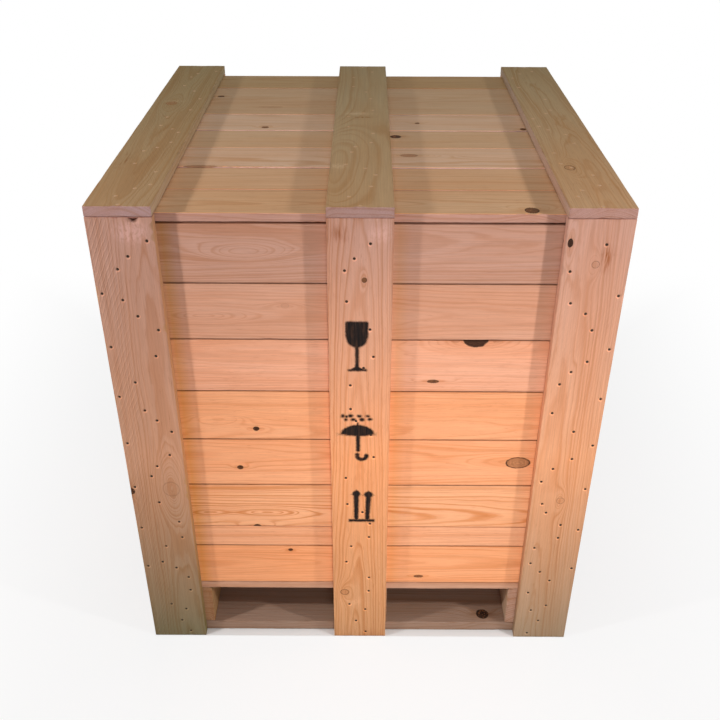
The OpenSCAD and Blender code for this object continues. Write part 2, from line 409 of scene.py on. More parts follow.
def nail_dents(plank, nails):
    """The dents that nail heads leave in a plank's faces."""
    for nail in nails:
        own = plank.to_own(nail.head)
        axis = plank.axes.index(nail.axis)
        side = 1.0 if own[axis] > 0 else -1.0
        on_face = abs(abs(own[axis]) - plank.half[axis]) < NEAR_FACE
        inward = side * plank.signs[axis] == nail.sign
        flat = face_axes(axis)
        inside = (np.abs(own[flat]) < plank.half[flat] - MM).all()
        if on_face and inward and inside:
            floor = nail.sink + PIT_FLOOR
            depths = [floor] * 3 + [nail.sink * share for share in PIT_SLOPE]
            # Which way the painted highlight on the pit's wall is strongest
            way = np.array(HIGHLIGHT_WAY) * (np.sign(nail.head[X]), 1, 1)
            torn = (way[plank.axes] * plank.signs)[flat]
            pit = Dent((axis, side), own[flat], PIT_RADII, depths, PIT_DARK[nail.body], torn=torn)
            plank.dents.append(pit)


# The hole for a lid nail in the top of a batten
HOLE_RADII = np.array([1.3, 1.65, 1.9]) * MM
HOLE_DEPTH = 26 * MM


def hole_dents(plank, lid_nails):
    """The holes in the tops of the battens that the lid's nails go into."""
    top = plank.high[Z]
    for nail in lid_nails:
        inside = all(plank.low[axis] < nail.head[axis] < plank.high[axis] for axis in (X, Y))
        if inside and plank.axes[0] == Z and nail.head[Z] - nail.length < top < nail.head[Z]:
            place = plank.to_own(nail.head)[face_axes(0)]
            depths = [HOLE_DEPTH] * 3 + [0.0]
            plank.dents.append(Dent((0, 1.0), place, HOLE_RADII, depths, (1, 1, 1, 0)))


# A notch's rings, depth and painted shade there as shares, its stretch along the grain, and
# the grid lines across it
NOTCH_RADII = np.array([0.3, 0.65, 1.0])
NOTCH_DEPTHS = np.array([1.0, 0.9, 0.6, 0.0])
NOTCH_SHADE = (1, 1, 0.9, 0)
NOTCH_STRETCH = (1.25, 1.0)
NOTCH_LINES = (-1.1, -0.7, -0.35, 0, 0.35, 0.7, 1.1)


def notch_dent(plank):
    """The notch in the batten's top, if it has one."""
    if "notch" in plank.facts:
        (x, z), half_width, depth = plank.facts["notch"]
        own = plank.to_own((x * MM, plank.low[Y], z * MM))[:2]
        radii, depths = NOTCH_RADII * half_width * MM, NOTCH_DEPTHS * depth * MM
        # The notch is darkened as painted shade
        plank.dents.append(Dent((2, 1.0), own, radii, depths, NOTCH_SHADE, 16, NOTCH_STRETCH))
        plank.cuts[1] = [own[1] + share * half_width * MM for share in NOTCH_LINES]


def own_spot(plank, place, sizes):
    """A spot in the crate's axes that the plank's face shows, in its own: middle and half sizes."""
    shown = sorted(plank.axes[:2])
    point, size = np.zeros(3), np.zeros(3)
    point[shown] = np.array(place) * MM
    size[shown] = np.array(sizes) * MM
    return plank.to_own(point)[:2], size[plank.axes[:2]]


STAIN_RADII = np.array([0.3, 0.6, 0.85, 1.1])


def stain_list(plank):
    """The plank's stains in its own axes, with points for them in its mesh."""
    for place, sizes, strength in plank.facts.get("stains", []):
        own, size = own_spot(plank, place, sizes)
        radius = size.mean()
        spot = Dent((2, 1.0), own, STAIN_RADII * radius, np.zeros(5), corners=14, stretch=size / radius)
        plank.dents.append(spot)
        plank.stains.append((spot, radius, strength))


def rim_darkness(dark):
    """How dark the bark round a knot usually is: none round a pale knot."""
    return float(np.clip((dark - 0.05) / 0.45, 0, 1))


def knot_list(plank):
    """The plank's knots in its own axes: middle, half sizes, how dark, and how dark the rim."""
    found = []
    for place, sizes, dark, *rim in plank.facts.get("knots", []):
        found.append((*own_spot(plank, place, sizes), dark, rim[0] if rim else rim_darkness(dark)))
    if plank.facts:
        return found
    random = plank.random
    for _ in range(random.integers(0, 3)):
        middle = np.array([random.uniform(-0.85, 0.85), random.uniform(-0.9, 0.9)]) * plank.half[:2]
        size = random.uniform(4, 13) * MM
        sizes = np.array([size * random.uniform(1.0, 1.5), size])
        dark = random.uniform(0.2, 0.95)
        found.append((middle, sizes, dark, rim_darkness(dark)))
    return found


KNOT_RADII = np.array([0.4, 0.75, 0.93, 1.0, 1.08, 1.3, 1.7])


def knot_dents(plank):
    """The slight hollows and rims of the knots on both wide faces."""
    for middle, sizes, dark, _ in plank.knots:
        if dark == 0:
            continue
        inner = plank.random.uniform(-0.05, 0.12)
        depths = np.array([inner, inner, inner, 0.05, 0.15 + 0.45 * dark, 0.0, -0.12, 0.0]) * MM
        radius = sizes.mean()
        for side in (1.0, -1.0):
            dent = Dent((2, side), middle, KNOT_RADII * radius, depths, corners=18, stretch=sizes / radius)
            plank.dents.append(dent)


# The mesh of a face: its steps, its lines near an edge, and how far its points keep from cuts,
# from edges in edge radii, and from dents in radii of the dent
STEP_ALONG = 16 * MM
STEP_ACROSS = 11 * MM
EDGE_LINES = np.array([0.0, 0.5, 1.0, 2.2, 5.0])
CUT_CLEARANCE = 1.5 * MM
GRID_OFF_EDGE, DENT_OFF_EDGE = 1.5, 1.2
GRID_OFF_DENT, DENSE_OFF_DENT = 1.15, 1.1


def stations(half, step, edge, cuts):
    """Places of the grid lines across a face: close together near both ends, and at the cuts."""
    near = EDGE_LINES * edge
    near = near[near < half * 0.8]
    inner = half - near[-1]
    count = max(1, int(round(2 * inner / step)))
    middle = np.linspace(-inner, inner, count + 1)[1:-1]
    for cut in cuts:
        middle = middle[np.abs(middle - cut) > CUT_CLEARANCE]
    return np.sort(np.concatenate([near - half, middle, cuts, half - near]))


def grid_points(across, up):
    """The crossings of two sets of lines."""
    return np.stack(np.meshgrid(across, up, indexing="ij"), axis=-1).reshape(-1, 2)


def plain_face(across, up):
    """A face with no dents: its grid points and its four-sided faces."""
    rows, columns = len(across), len(up)
    first = (np.arange(rows - 1)[:, None] * columns + np.arange(columns - 1)).ravel()
    quads = np.stack([first, first + columns, first + columns + 1, first + 1], axis=1)
    return grid_points(across, up), quads.tolist()


def cut_face(across, up, dents, windows, edge):
    """A face with rings of points at its dents and fine points in its windows, as triangles."""
    grid = grid_points(across, up)
    half = np.array([across[-1], up[-1]])
    inner = (np.abs(grid) < half - GRID_OFF_EDGE * edge).all(axis=1)
    keep = np.ones(len(grid), bool)
    added = []
    for dent in dents:
        keep &= ~(inner & (dent.distance(grid) < dent.reach * GRID_OFF_DENT))
        added.append(dent.points[(np.abs(dent.points) < half - DENT_OFF_EDGE * edge).all(axis=1)])
    for low, high, step in windows:
        keep &= ~(inner & (grid > low - step).all(axis=1) & (grid < high + step).all(axis=1))
        dense = grid_points(*(np.arange(low[k], high[k], step) for k in (0, 1)))
        clear = np.ones(len(dense), bool)
        for dent in dents:
            clear &= dent.distance(dense) > dent.reach * DENSE_OFF_DENT
        added.append(dense[clear])
    points = np.concatenate([grid[keep]] + added)
    made = delaunay_2d_cdt([Vector(point) for point in points.tolist()], [], [], 0, 1e-7)
    chosen = np.array([origin[0] for origin in made[3]])
    return points[chosen], made[2]


def plank_box(plank):
    """The plank's unworn surface: points on the faces of its box, and the cells between them."""
    steps = (STEP_ALONG, STEP_ACROSS, STEP_ACROSS)
    lines = [stations(plank.half[axis], steps[axis], plank.edge, plank.cuts[axis]) for axis in range(3)]
    points, cells, start = [], [], 0
    for axis, side in product(range(3), (1.0, -1.0)):
        i, j = face_axes(axis)
        dents = [dent for dent in plank.dents if dent.face == (axis, side)]
        windows = plank.windows if (axis, side) == (2, 1.0) else []
        if dents or windows:
            flat, corners = cut_face(lines[i], lines[j], dents, windows, plank.edge)
        else:
            flat, corners = plain_face(lines[i], lines[j])
        solid = np.empty((len(flat), 3))
        solid[:, axis] = side * plank.half[axis]
        solid[:, [i, j]] = flat
        points.append(solid)
        turn = -1 if (side < 0) != plank.mirrored else 1
        cells += [[start + corner for corner in cell[::turn]] for cell in corners]
        start += len(flat)
    points = np.concatenate(points)
    places = np.round(points / SAME_PLACE).astype(np.int64)
    _, first, same = np.unique(places, axis=0, return_index=True, return_inverse=True)
    same = same.ravel()
    return points[first], [tuple(same[corner] for corner in cell) for cell in cells]


def new_mesh(name, points, cells, material):
    """A smooth mesh with its material."""
    mesh = bpy.data.meshes.new(name)
    mesh.from_pydata(points.tolist(), [], cells)
    mesh.polygons.foreach_set("use_smooth", [True] * len(mesh.polygons))
    mesh.materials.append(material)
    return mesh


def show(name, data):
    """Puts a new object in the scene."""
    made = bpy.data.objects.new(name, data)
    bpy.context.scene.collection.objects.link(made)
    return made


def add_piece(name, mesh, node, body):
    """Puts a piece in the scene that rides on a body and stands for a node of the frame."""
    piece = show(name, mesh)
    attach(piece, body)
    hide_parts(node)


def build_plank(plank, material):
    """Makes the plank with rounded, worn edges and its dents, and what its material reads."""
    box, cells = plank_box(plank)
    own, grime = worn(plank, box)
    mesh = new_mesh(plank.name + "_wood", plank.to_world(own), cells, material)
    set_wood_attributes(mesh, plank, box, own)
    # Painted shade in the seams, joined with the dents' grime, painted shade and painted highlights
    seam = seam_grime(plank, box)
    put(mesh, "grime", np.where(seam > np.abs(grime), seam, grime))
    add_piece(plank.name + "_wood", mesh, plank.node, plank.body)


# How far the faces' waves reach, the least edge radius, what wear and chips add to it, all as
# shares of the group's, and the noise from which on an edge is chipped
FACE_WAVE = 0.22 * MM
EDGE_LEAST, EDGE_WEAR, EDGE_CHIP = 0.55, 0.9, 1.8
CHIP_FROM, CHIP_SPAN = 0.78, 0.22


def worn(plank, box):
    """The plank's surface and the grime, painted shade and painted highlights of its dents: edges rounded
    unevenly, faces wavy, dents pressed in.
    """
    seed = plank.random.integers(1 << 30)
    shifted = box + plank.random.uniform(0, 50, 3)
    wear = value_noise(shifted * noise_scale(45, 14), seed)
    chips = value_noise(shifted * noise_scale(45, 14) * 2.3, seed + 1)
    chipped = np.clip(chips - CHIP_FROM, 0, 1) / CHIP_SPAN
    radius = plank.edge * (EDGE_LEAST + EDGE_WEAR * wear + EDGE_CHIP * chipped)
    radius = np.minimum(radius, plank.half.min() * 0.6)[:, None]
    inner = np.clip(box, radius - plank.half, plank.half - radius)
    offset = box - inner
    outward = offset / np.maximum(np.linalg.norm(offset, axis=1, keepdims=True), 1e-12)
    wave = value_noise(shifted * noise_scale(90, 30), seed + 2)
    depth = plank.inset + FACE_WAVE * (wave - 0.5)
    grime = np.zeros(len(box))
    for dent in plank.dents:
        axis, side = dent.face
        flat = box[:, face_axes(axis)]
        on_face = np.abs(box[:, axis] - side * plank.half[axis]) < 0.01 * MM
        depth = depth + np.where(on_face, dent.read(flat, dent.depths), 0.0)
        mark = dent.grime(flat)
        grime = np.where(on_face & (np.abs(mark) > np.abs(grime)), mark, grime)
    return inner + outward * radius - outward * depth[:, None], grime


def seam_grime(plank, box):
    """Painted shade along both long edges, where the board meets the next one: how dark the wood is made
    there.
    """
    low, high = plank.seams
    place = box * (noise_scale(70, 70) * (1, 0, 0)) + seeded(plank.name + "_seam").uniform(0, 50, 3)
    uneven = np.clip(0.35 + 1.1 * value_noise(place, 7), 0, 1)
    near_low = np.clip(1.6 - (plank.half[1] + box[:, 1]) / plank.edge, 0, 1)
    near_high = np.clip(1.0 - (plank.half[1] - box[:, 1]) / plank.edge, 0, 1)
    return uneven * np.maximum(low * near_low, high * near_high)


def stain_amount(plank, box):
    """How strong the stains are at each point, below 0 where the wood is rubbed pale."""
    total = np.zeros(len(box))
    for spot, radius, strength in plank.stains:
        share = np.clip(1.25 - spot.distance(box[:, :2]) / radius, 0, 1)
        total += strength * share * (box[:, 2] > 0)
    return total


# How far a side's colour and a lit edge's reach, in edge radii, and over how many millimetres a
# strip of painted shade beside a batten starts and ends
SIDE_REACH, LIT_REACH = 0.3, 1.2
STRIP_START, STRIP_END = 5, 4


def wood_colour(plank, box, own):
    """The colour at each point: the plank's tones along it, with their own for sides and ends, a painted
    highlight on the lid boards' front edges and painted shade beside the front battens.
    """
    tones = np.array([srgb(*tone) for tone in plank.tones])
    stops = np.linspace(-1, 1, len(tones)) if len(tones) > 1 else np.zeros(1)
    shares = own[:, 0] / plank.half[0]
    colour = np.stack([np.interp(shares, stops, tones[:, band]) for band in range(3)], axis=1)
    colour *= (1 + plank.fade[0] * shares + plank.fade[1] * shares**2)[:, None]
    at_end, at_side, _ = (plank.half - np.abs(box) < SIDE_REACH * plank.edge).T
    colour[at_side] *= plank.side_tint
    # Painted highlight on the lid boards' front edges
    if plank.group == "lid_board":
        colour[plank.half[1] + box[:, 1] < LIT_REACH * plank.edge] *= LIT_EDGE
    colour[at_end] *= plank.end_tint
    # Painted shade beside the battens, warmed as by light thrown back from them
    if plank.group == "front_board":
        x = plank.to_world(own)[:, X] / MM
        for start, width in BATTEN_SHADE_STRIPS:
            share = np.clip((start + width - x) / STRIP_END + 0.5, 0, 1) * (x > start - STRIP_START)
            colour *= 1 + share[:, None] * (np.array(BATTEN_SHADE_COLOUR) - 1)
    return colour


# How many knots the material draws, one too far away to show, and a pith's span by chance
KNOT_SLOTS = 3
FAR_KNOT = (9.0, 9.0, 0.001)
PITH_CHANCES = ((-60, 60), (25, 110), (-12, 12), (-25, 25))


def set_wood_attributes(mesh, plank, box, own):
    """Writes what the wood's material reads: places in the tree, knots, colour and marks."""
    random = plank.random
    by_chance = [random.uniform(*span) for span in PITH_CHANCES]
    across, deep, drift, sink = (value * MM for value in plank.facts.get("pith", by_chance))
    tree = own + (random.uniform(2, 40), -across, deep - plank.half[2]) + own[:, :1] * (0, -drift, sink)
    put(mesh, "tree", tree)
    tones, rims = np.zeros(3), np.zeros(3)
    for number in range(KNOT_SLOTS):
        field = np.tile(FAR_KNOT, (len(own), 1))
        if number < len(plank.knots):
            middle, sizes, tones[number], rims[number] = plank.knots[number]
            lean = random.uniform(-0.25, 0.25, 2)
            radius = sizes.mean()
            offset = own[:, :2] - middle - lean * (own[:, 2:] - plank.half[2])
            field[:, :2] = offset * (radius / sizes)
            field[:, 2] = radius
        put(mesh, f"knot_{number + 1}", field)
    grain = (plank.ring_gap, plank.ring_contrast, plank.fleck)
    for name, values in (("knot_tones", tones), ("knot_rims", rims), ("grain", grain)):
        put(mesh, name, np.tile(values, (len(own), 1)))
    angle, pitch, amount, share = plank.saw
    slant = math.radians(angle)
    lines = (own[:, 0] * math.cos(slant) + (own[:, 1] + own[:, 2]) * math.sin(slant)) / (pitch * MM)
    put(mesh, "saw_line", lines)
    across = (own[:, 1] / plank.half[1] + 1) / 2
    put(mesh, "saw_depth", amount * np.clip((share - across) * 6 + 0.5, 0, 1))
    gap = np.sort(plank.half - np.abs(box), axis=1)[:, 1]
    put(mesh, "edge", np.clip(1 - gap / (5 * plank.edge), 0, 1))
    put(mesh, "stain", stain_amount(plank, box))
    tint = mesh.attributes.new("tint", "FLOAT_COLOR", "POINT")
    colour = wood_colour(plank, box, own)
    tint.data.foreach_set("color", np.column_stack([colour, np.ones(len(own))]).ravel())
    if plank.windows:
        put(mesh, "paint", stencil_amount(plank.to_world(own) / MM))


def put(mesh, name, values):
    """Gives a mesh a number or a vector at each point, for its material to read."""
    kind, field = ("FLOAT", "value") if values.ndim == 1 else ("FLOAT_VECTOR", "vector")
    mesh.attributes.new(name, kind, "POINT").data.foreach_set(field, values.ravel())


class Graph:
    """The shader nodes of a material or world, added so that a formula reads as one."""

    def __init__(self, owner, output="Material"):
        owner.use_nodes = True
        self.owner, self.tree, self.attributes = owner, owner.node_tree, {}
        self.tree.nodes.clear()
        self.output = self.node("Output" + output)

    def put(self, socket, value):
        if isinstance(value, bpy.types.NodeSocket):
            self.tree.links.new(value, socket)
        elif socket.type == "RGBA":
            socket.default_value = (*value, 1.0)
        else:
            socket.default_value = value

    def node(self, kind, inputs=None, **settings):
        made = self.tree.nodes.new("ShaderNode" + kind)
        for name, value in settings.items():
            setattr(made, name, value)
        for name, value in (inputs or {}).items():
            self.put(made.inputs[name], value)
        return made

    def maths(self, operation, *values, clamp=False):
        return self.node("Math", dict(enumerate(values)), operation=operation, use_clamp=clamp).outputs[0]

    def add(self, a, b, share=None):
        """a + b, or a + b * share."""
        return self.maths("ADD", a, b) if share is None else self.maths("MULTIPLY_ADD", b, share, a)

    def times(self, a, *others, clamp=False):
        for other in others:
            a = self.maths("MULTIPLY", a, other, clamp=clamp)
        return a

    def above_zero(self, value):
        return self.maths("MAXIMUM", value, 0.0)

    def ramp(self, value, low, high, to_low=0.0, to_high=1.0):
        """A smooth step from to_low at low to to_high at high."""
        inputs = {"Value": value, "From Min": low, "From Max": high, "To Min": to_low, "To Max": to_high}
        return self.node("MapRange", inputs, interpolation_type="SMOOTHSTEP").outputs["Result"]

    def attribute(self, name, output="Fac"):
        if name not in self.attributes:
            self.attributes[name] = self.node("Attribute", attribute_name=name)
        return self.attributes[name].outputs[output]

    def split(self, vector):
        return self.node("SeparateXYZ", {"Vector": vector}).outputs

    def scaled(self, vector, *factors):
        return self.node("VectorMath", {0: vector, 1: factors}, operation="MULTIPLY").outputs[0]

    def noise(self, vector, detail=2.0, roughness=0.5):
        inputs = {"Vector": vector, "Scale": 1.0, "Detail": detail, "Roughness": roughness}
        return self.node("TexNoise", inputs).outputs["Fac"]

    def wood_noise(self, along, across, detail=2.0, roughness=0.5):
        """Noise in the tree's own axes, with so many cells to a metre along and across the grain."""
        place = self.scaled(self.attribute("tree", "Vector"), along, across, across)
        return self.noise(place, detail, roughness)

    def mix(self, share, a, b, blend="MIX"):
        return self.node("Mix", {0: share, 6: a, 7: b}, data_type="RGBA", blend_type=blend).outputs[2]

    def tinted(self, colour, factor):
        """A colour times a number or a plain colour."""
        if isinstance(factor, tuple):
            return self.mix(1.0, colour, factor, "MULTIPLY")
        return self.node("VectorMath", {0: colour, "Scale": factor}, operation="SCALE").outputs[0]

    def stained(self, colour, share, factor):
        """A colour that turns to itself times factor where share is 1."""
        return self.mix(share, colour, self.tinted(colour, factor))

    def curve(self, value, stops):
        """A value read off a smooth curve through (place, height) stops."""
        made = self.node("ValToRGB", {"Fac": value})
        ramp = made.color_ramp
        ramp.interpolation = "EASE"
        while len(ramp.elements) < len(stops):
            ramp.elements.new(0.5)
        for element, (place, height) in zip(ramp.elements, stops):
            element.position = place
            element.color = (height, height, height, 1)
        return made.outputs["Color"]

    def seen(self):
        """1 where the camera, a mirror or glass sees the surface, and 0 for its light on others."""
        path = self.node("LightPath").outputs
        seen = self.maths("MAXIMUM", path["Is Camera Ray"], path["Is Glossy Ray"])
        return self.maths("MAXIMUM", seen, path["Is Transmission Ray"])

    def end_with(self, shader):
        self.put(self.output.inputs["Surface"], shader.outputs[0])
        return self.owner

    def end_mixed(self, share, first, second):
        """Ends with the first shader, and the second where share is 1."""
        return self.end_with(self.node("MixShader", {0: share, 1: first.outputs[0], 2: second.outputs[0]}))

    def end_rough(self, colour, rough, bump, metallic=0.0):
        """Ends with a rough surface. The bump is its strength, its distance and the height."""
        bump = self.node("Bump", dict(zip(("Strength", "Distance", "Height"), bump)))
        inputs = {"Base Color": colour, "Roughness": rough, "Normal": bump.outputs[0]}
        inputs.update({"Metallic": metallic, "Specular IOR Level": 0.1})
        return self.end_with(self.node("BsdfPrincipled", inputs))


# What the wood's own colour is multiplied by
SPRING_WOOD, LATE_WOOD = (1.06, 1.05, 1.04), (0.84, 0.64, 0.44)
BLOTCH, FLECK = (0.97, 0.90, 0.83), (0.62, 0.48, 0.36)
# The grime colour also paints the shade in seams and notches, and the torn colour also paints the highlight
# round nail pits
EDGE_DIRT, GRIME_AND_SHADE, TORN_AND_HIGHLIGHT = (0.6, 0.5, 0.42), (0.12, 0.075, 0.05), (1.6, 1.45, 1.35)
BROWN_STAIN, RUBBED = (0.60, 0.40, 0.24), (1.25, 1.32, 1.5)
KNOT_HALO, KNOT_TAIL = (0.88, 0.72, 0.54), (0.45, 0.28, 0.18)

# Linear colours of pale and of dark knots, of the bark round them, and of thick and thin paint
PALE_KNOT = (0.44, 0.18, 0.075), (0.21, 0.085, 0.035)
DARK_KNOT = (0.018, 0.007, 0.004), (0.26, 0.09, 0.032)
BARK = (0.022, 0.011, 0.007)
PAINT = (0.008, 0.006, 0.006), (0.035, 0.017, 0.011)

# A ring of growth from pale spring wood to the dark line that ends it
RING_CURVE = [(0.0, 0.3), (0.12, 0.0), (0.5, 0.1), (0.84, 1.0), (0.94, 0.75), (1.0, 0.3)]


# How deep each kind of pine's saw marks are, how rough it is, and how dirty its edges are
PINES = {
    "wall_pine": (0.5, 0.72, 0.25),
    "lid_pine": (0.6, 0.74, 0.05),
    "batten_pine": (1.6, 0.8, 0.3),
    "base_pine": (1.4, 0.82, 0.5),
}


def pine(name, saw_depth, roughness, dirt):
    """Sawn pine: growth rings that bend round knots, fibres, flecks, saw marks and worn edges, with the
    painted shade and highlights that its mesh carries.
    """
    g = Graph(bpy.data.materials.new(name))
    gap, contrast, fleck = g.split(g.attribute("grain", "Vector"))
    knots = [knot_field(g, number) for number in range(KNOT_SLOTS)]
    ring = g.curve(g.maths("FRACT", growth_years(g, gap, knots)), RING_CURVE)
    strong = g.ramp(g.wood_noise(1.5, 30, 1), 0.25, 0.7, 0.45, 1.2)
    rings = g.times(g.times(ring, contrast), strong, clamp=True)
    tint = g.attribute("tint", "Color")
    colour = g.mix(rings, g.tinted(tint, SPRING_WOOD), g.tinted(tint, LATE_WOOD))
    blotches = g.ramp(g.wood_noise(3.0, 16, 3, 0.6), 0.35, 0.7)
    colour = g.stained(colour, blotches, BLOTCH)
    fibre = g.wood_noise(9, 600, 4, 0.7)
    colour = g.tinted(colour, g.ramp(fibre, 0.25, 0.75, 0.91, 1.09))
    flecks = g.times(g.ramp(g.wood_noise(45, 1300, 1), 0.66, 0.76), fleck)
    colour = g.stained(colour, flecks, FLECK)
    colour, knotty, cracks = draw_knots(g, colour, knots)
    colour = draw_stains(g, colour)
    strokes = saw_strokes(g)
    colour = g.tinted(colour, g.add(1.0, strokes, 0.06))
    rub = g.ramp(g.wood_noise(30, 160, 3), 0.35, 0.7)
    colour = g.stained(colour, g.times(g.attribute("edge"), rub, dirt), EDGE_DIRT)
    # Grime with painted shade in the seams and notches; below 0, torn wood with painted highlights round the
    # nails
    grime = g.attribute("grime")
    colour = g.stained(colour, g.times(g.above_zero(grime), 0.93), GRIME_AND_SHADE)
    colour = g.stained(colour, g.times(g.above_zero(g.times(grime, -1.0)), 0.6), TORN_AND_HIGHLIGHT)
    colour = draw_paint(g, colour, fibre)
    height = g.add(g.times(rings, 0.6), fibre, 0.5)
    for mark, share in ((strokes, saw_depth), (cracks, -2.5), (flecks, -0.8)):
        height = g.add(height, mark, share)
    smooth = g.add(g.times(knotty, 0.2), fibre, 0.6)
    rough = g.ramp(smooth, 0.0, 0.6, roughness - 0.12, roughness)
    return g.end_rough(colour, rough, (0.55, 0.25 * MM, height))


def knot_field(g, number):
    """A knot's place and size: from its middle in radii, round and along the grain, and its tone."""
    x, y, radius = g.split(g.attribute(f"knot_{number + 1}", "Vector"))
    x, y = g.maths("DIVIDE", x, radius), g.maths("DIVIDE", y, radius)
    x_square, y_square = g.times(x, x), g.times(y, y)
    return {
        "x": x,
        "y": y,
        "radius": radius,
        "distance": g.maths("SQRT", g.add(x_square, y_square)),
        "stretched": g.maths("SQRT", g.add(g.times(x_square, 0.16), y_square)),
        "tone": g.split(g.attribute("knot_tones", "Vector"))[number],
        "rim": g.split(g.attribute("knot_rims", "Vector"))[number],
    }


def growth_years(g, gap, knots):
    """The number of rings from the pith to each point, with the bends round the knots."""
    _, y, z = g.split(g.attribute("tree", "Vector"))
    radius = g.maths("SQRT", g.add(g.times(y, y), g.times(z, z)))
    radius = g.add(radius, g.wood_noise(2.4, 13), 0.016)
    radius = g.add(radius, g.wood_noise(16, 75, 3), 0.0028)
    for knot in knots:
        bulge = g.maths("EXPONENT", g.times(knot["stretched"], knot["stretched"], -0.45))
        radius = g.add(radius, g.times(bulge, knot["radius"]), -1.7)
    years = g.maths("DIVIDE", radius, gap)
    inputs = {"W": g.times(years, 0.7), "Scale": 1.0, "Detail": 1.0}
    uneven = g.node("TexNoise", inputs, noise_dimensions="1D").outputs["Fac"]
    return g.add(years, uneven, 1.6)


def draw_knots(g, colour, knots):
    """Paints the knots over the grain. Returns the colour, where the knots are, and their cracks."""
    share_all, crack_all = 0.0, 0.0
    drift = g.scaled(g.attribute("tree", "Vector"), 40, 40, 40)
    for knot in knots:
        tone = knot["tone"]
        own = g.node("CombineXYZ", {"X": knot["x"], "Y": knot["y"]}).outputs[0]
        spot = g.node("VectorMath", {0: own, 1: drift}, operation="ADD").outputs[0]
        ragged = g.noise(g.scaled(spot, 1.3, 1.3, 1.0), 3)
        patches = g.noise(g.scaled(spot, 2.6, 2.6, 1.0), 3, 0.6)
        place = g.add(knot["distance"], g.add(ragged, -0.5), g.ramp(tone, 0.3, 0.9, 0.10, 0.28))
        near = g.ramp(knot["stretched"], 0.5, 1.7, 1.0, 0.0)
        colour = g.stained(colour, g.times(near, g.ramp(tone, 0.0, 0.5, 0.0, 0.5)), KNOT_HALO)
        thin = g.ramp(g.maths("ABSOLUTE", g.maths("DIVIDE", knot["y"], 0.32)), 0.0, 1.0, 1.0, 0.0)
        length = g.ramp(g.maths("ABSOLUTE", knot["x"]), 0.9, 2.8, 1.0, 0.0)
        tail = g.times(thin, length, g.ramp(tone, 0.55, 0.9, 0.0, 0.6))
        colour = g.stained(colour, tail, KNOT_TAIL)
        share = g.times(g.ramp(place, 0.90, 1.04, 1.0, 0.0), g.ramp(tone, 0.0, 0.04))
        pale = g.mix(g.maths("FRACT", g.add(g.times(ragged, 2.0), place, 3.2)), *PALE_KNOT)
        reddish = g.times(g.ramp(patches, 0.50, 0.66), g.ramp(tone, 0.8, 1.0, 1.0, 0.1))
        inside = g.mix(g.ramp(tone, 0.35, 0.85), pale, g.mix(reddish, *DARK_KNOT))
        colour = g.mix(g.times(share, g.ramp(tone, 0.0, 0.6, 0.05, 0.95)), colour, inside)
        ring = g.times(g.ramp(place, 0.86, 0.97), g.ramp(place, 1.0, 1.10, 1.0, 0.0))
        rim = g.times(ring, g.times(knot["rim"], 0.95))
        colour = g.mix(g.times(rim, g.ramp(patches, 0.25, 0.55, 0.45, 1.0)), colour, BARK)
        crack = g.times(share, g.ramp(patches, 0.60, 0.68))
        share_all = g.maths("MAXIMUM", share_all, share)
        crack_all = g.maths("MAXIMUM", crack_all, g.maths("MAXIMUM", crack, g.times(rim, 0.5)))
    return colour, share_all, crack_all


def draw_stains(g, colour):
    """Brown stains drawn out along the fibres, and pale places where the face is rubbed."""
    stain = g.attribute("stain")
    streaks = g.ramp(g.wood_noise(25, 260, 3, 0.6), 0.35, 0.65)
    brown = g.times(g.above_zero(stain), streaks)
    colour = g.stained(colour, g.times(brown, 0.95, clamp=True), BROWN_STAIN)
    fuzz = g.ramp(g.wood_noise(140, 260, 3, 0.7), 0.30, 0.60)
    pale = g.times(g.above_zero(g.times(stain, -1.0)), fuzz)
    return g.stained(colour, g.times(pale, 0.9, clamp=True), RUBBED)


def saw_strokes(g):
    """How high the saw marks stand: wandering strokes, in patches."""
    place = g.add(g.attribute("saw_line"), g.wood_noise(9, 40), 1.4)
    stroke = g.ramp(g.maths("SINE", g.times(place, 2 * math.pi)), 0.2, 1.0, -0.25, 1.0)
    patches = g.ramp(g.wood_noise(11, 21), 0.35, 0.6)
    return g.times(stroke, patches, g.attribute("saw_depth"))


def draw_paint(g, colour, fibre):
    """The stencilled figures: black paint, thin and brown in places, with a blurred edge."""
    spray = g.wood_noise(420, 900, 3, 0.65)
    spread = g.add(g.attribute("paint"), g.add(spray, -0.5), 0.55)
    share = g.times(g.ramp(spread, 0.18, 0.80), g.ramp(fibre, 0.2, 0.6, 0.95, 1.0))
    return g.mix(share, colour, g.mix(g.ramp(g.wood_noise(35, 190), 0.46, 0.7), *PAINT))


# Linear colours of the nails: steel and rust, the fine dust on them, and the painted highlight on the lid's
# heads
STEEL, RUST = (0.040, 0.028, 0.020), (0.07, 0.03, 0.014)
NAIL_DUST, BRIGHT_HEAD = (0.07, 0.05, 0.04), (0.66, 0.42, 0.26)


def nail_steel():
    """Dark steel with a bloom of rust, and a painted highlight on the lid's heads."""
    g = Graph(bpy.data.materials.new("nail_steel_finish"))
    place = g.node("TexCoord").outputs["Object"]
    bloom = g.noise(g.scaled(place, 420, 420, 420), 3)
    fine = g.noise(g.scaled(place, 2600, 2600, 2600))
    colour = g.mix(g.ramp(bloom, 0.4, 0.7), STEEL, RUST)
    colour = g.mix(g.ramp(fine, 0.35, 0.75, 0.0, 0.5), colour, NAIL_DUST)
    colour = g.mix(g.attribute("bright"), colour, BRIGHT_HEAD)
    return g.end_rough(colour, g.ramp(bloom, 0.35, 0.7, 0.6, 0.85), (0.4, 0.1 * MM, fine), metallic=0.1)


